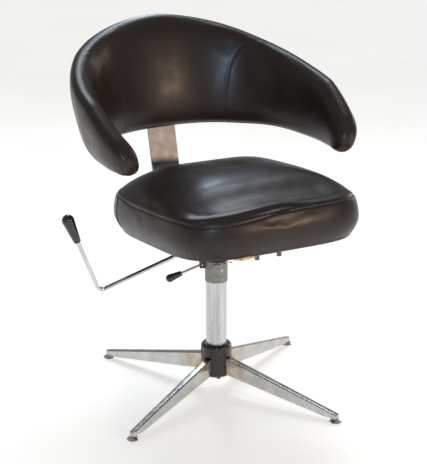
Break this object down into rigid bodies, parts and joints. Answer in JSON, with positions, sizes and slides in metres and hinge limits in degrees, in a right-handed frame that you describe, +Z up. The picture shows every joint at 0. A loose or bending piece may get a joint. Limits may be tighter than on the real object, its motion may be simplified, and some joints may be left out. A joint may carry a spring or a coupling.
{
  "type": "hydraulic barber chair",
  "caption": "Wraparound-back hydraulic swivel chair: padded seat and curved arms on a steel bar, column with pump and release levers, splayed leg base.",
  "frame": {"origin": "floor point on the column's axis", "axes": "+Z up; the chair faces -Y; the sitter's right, where both levers are, is -X"},
  "size_m": [0.7085, 0.6538, 0.872],
  "materials": {
    "enamel_black": "gloss black-brown enamel",
    "leg_chrome": "worn chrome",
    "glide_chrome": "bright chrome",
    "glide_plastic": "matte",
    "plate_steel": "dark grey",
    "screw_black": "blackened steel",
    "column_satin": "satin ground",
    "skirt_dull": "dull, dirty",
    "turned_steel": "turned",
    "ram_chrome": "polished",
    "bronze": "machined",
    "seal_rubber": "matte",
    "spring_steel": "drawn wire",
    "rod_chrome": "bright, lightly scratched",
    "knob_black": "gloss",
    "bar_chrome": "dulled, brownish",
    "plywood": "raw",
    "foam": "aged open-cell",
    "hide_seat": "semi-gloss espresso",
    "hide_back": "semi-gloss espresso",
    "dust_cloth": "woven"
  },
  "bodies": {
    "base": {"base_hub": "enamel_black", "leg_1": "leg_chrome", "leg_2": "leg_chrome", "leg_3": "leg_chrome", "leg_4": "leg_chrome", "glide_1": "glide_chrome", "glide_2": "glide_chrome", "glide_3": "glide_chrome", "glide_4": "glide_chrome", "glide_pads": "glide_plastic", "leg_clamp_plate": "plate_steel", "clamp_plate_screws": "screw_black", "hub_set_screws": "screw_black", "column_tube": "column_satin", "column_end_plug": "turned_steel", "guide_bush": "bronze", "gland_ring": "turned_steel", "wiper_seal": "seal_rubber"},
    "lift": {"piston": "turned_steel", "piston_seals": "seal_rubber", "thrust_lower_race": "turned_steel", "thrust_balls": "ram_chrome"},
    "swivel": {"thrust_upper_race": "turned_steel", "ram_tube": "ram_chrome", "rod_guide_disc": "bronze", "pump_barrel": "turned_steel", "pump_return_spring": "spring_steel", "release_spring": "spring_steel", "head_casting": "enamel_black", "head_skirt": "skirt_dull", "ram_cross_pin": "turned_steel", "lever_pivot_pin": "turned_steel", "release_bracket": "enamel_black", "release_pivot_pin": "turned_steel", "seat_board": "plywood", "seat_t_nuts": "turned_steel", "seat_bolts": "screw_black", "front_studs": "screw_black", "seat_foam": "foam", "seat_top_cover": "hide_seat", "seat_side_band": "hide_seat", "seat_dust_cover": "dust_cloth", "back_bar": "bar_chrome", "back_screws": "screw_black", "back_shell": "plywood", "back_foam_front": "foam", "back_foam_rear": "foam", "back_cover_middle": "hide_back", "back_cover_right_arm": "hide_back", "back_cover_left_arm": "hide_back", "back_cover_outer": "hide_back"},
    "pump_lever": {"lever_arm": "plate_steel", "lever_rod": "rod_chrome", "lever_knob": "knob_black"},
    "plunger": {"pump_push_rod": "turned_steel", "plunger_seal": "seal_rubber"},
    "release_lever": {"release_lever": "rod_chrome", "release_knob": "knob_black"},
    "release_rod": {"release_rod": "turned_steel"}
  },
  "joints": [
    {"name": "lift", "type": "slide", "parent": "base", "child": "lift", "axis": [0, 0, 1], "range_m": [0, 0.14]},
    {"name": "swivel", "type": "hinge", "parent": "lift", "child": "swivel", "pos_m": [0, 0, 0.0975], "axis": [0, 0, 1], "continuous": true},
    {"name": "pump_lever", "type": "hinge", "parent": "swivel", "child": "pump_lever", "pos_m": [0.045, 0, 0.388], "axis": [0, -1, 0], "range_deg": [0, 25], "stiffness_Nm_per_rad": 3, "springref_deg": -45.84},
    {"name": "pump_plunger", "type": "slide", "parent": "swivel", "child": "plunger", "axis": [0, 0, -1], "range_m": [0, 0.0236], "deforming": ["pump_return_spring"]},
    {"name": "release_lever", "type": "hinge", "parent": "swivel", "child": "release_lever", "pos_m": [-0.03195, 0.01163, 0.3215], "axis": [0.342, 0.9397, 0], "range_deg": [0, 12], "stiffness_Nm_per_rad": 0.3, "springref_deg": -28.65},
    {"name": "release_rod", "type": "slide", "parent": "swivel", "child": "release_rod", "axis": [0, 0, -1], "range_m": [0, 0.0059], "deforming": ["release_spring"]}
  ],
  "couplings": [
    {"joint": "pump_plunger", "follows": "pump_lever", "m_per_rad": 0.054},
    {"joint": "release_rod", "follows": "release_lever", "m_per_rad": 0.0276}
  ]
}
